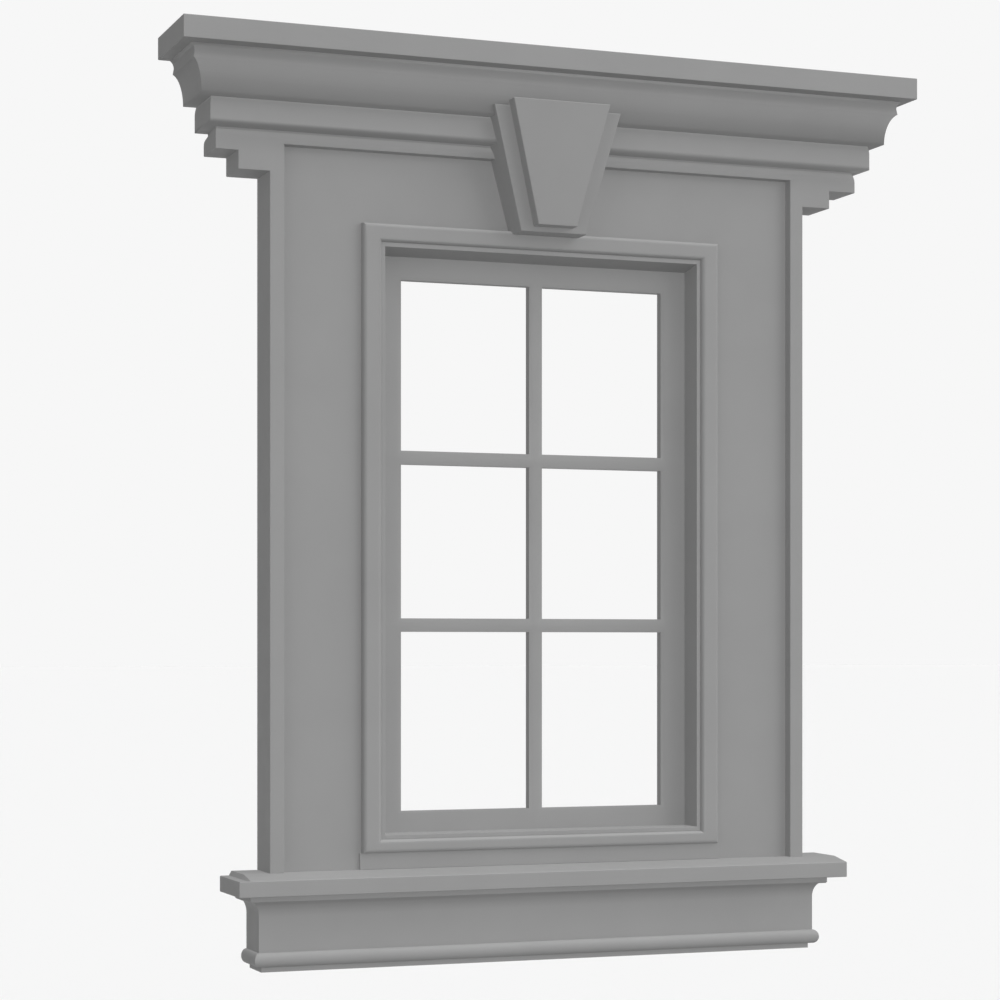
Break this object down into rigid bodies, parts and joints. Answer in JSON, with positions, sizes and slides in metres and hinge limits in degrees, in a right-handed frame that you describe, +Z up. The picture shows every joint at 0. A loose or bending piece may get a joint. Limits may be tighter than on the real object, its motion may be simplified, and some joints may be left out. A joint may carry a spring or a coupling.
{
  "type": "window surround",
  "caption": "Classical window surround for a wall: moulded cornice with keystone, shouldered frame, architrave, open-paned sash, sill and moulded apron.",
  "frame": {"origin": "on the wall plane and the centre line, on the flat back of the field panel above the window hole, where the surround is fixed to the wall", "axes": "+Z up, +Y into the wall (the front faces -Y), +X to the right as seen from the front"},
  "size_m": [1.8965, 0.2515, 2.204],
  "materials": {
    "frame_paint": "matt neutral grey paint over timber joinery",
    "sash_paint": "matt neutral grey paint over the timber sash and glazing bars"
  },
  "bodies": {
    "root": {"cap_board": "frame_paint", "crown_moulding": "frame_paint", "cornice_band": "frame_paint", "outer_frame": "frame_paint", "field_panel": "frame_paint", "field_foot_strip": "frame_paint", "keystone_block": "frame_paint", "keystone_facing": "frame_paint", "architrave_left": "frame_paint", "architrave_right": "frame_paint", "architrave_head": "frame_paint", "architrave_foot": "frame_paint", "lining_left": "frame_paint", "lining_right": "frame_paint", "lining_head": "frame_paint", "lining_foot": "frame_paint", "sill_board": "frame_paint", "apron_moulding": "frame_paint", "sash_stile_left": "sash_paint", "sash_stile_right": "sash_paint", "sash_rail_head": "sash_paint", "sash_rail_foot": "sash_paint", "glazing_bar_upright": "sash_paint", "glazing_bar_upper_left": "sash_paint", "glazing_bar_upper_right": "sash_paint", "glazing_bar_lower_left": "sash_paint", "glazing_bar_lower_right": "sash_paint"}
  },
  "joints": []
}
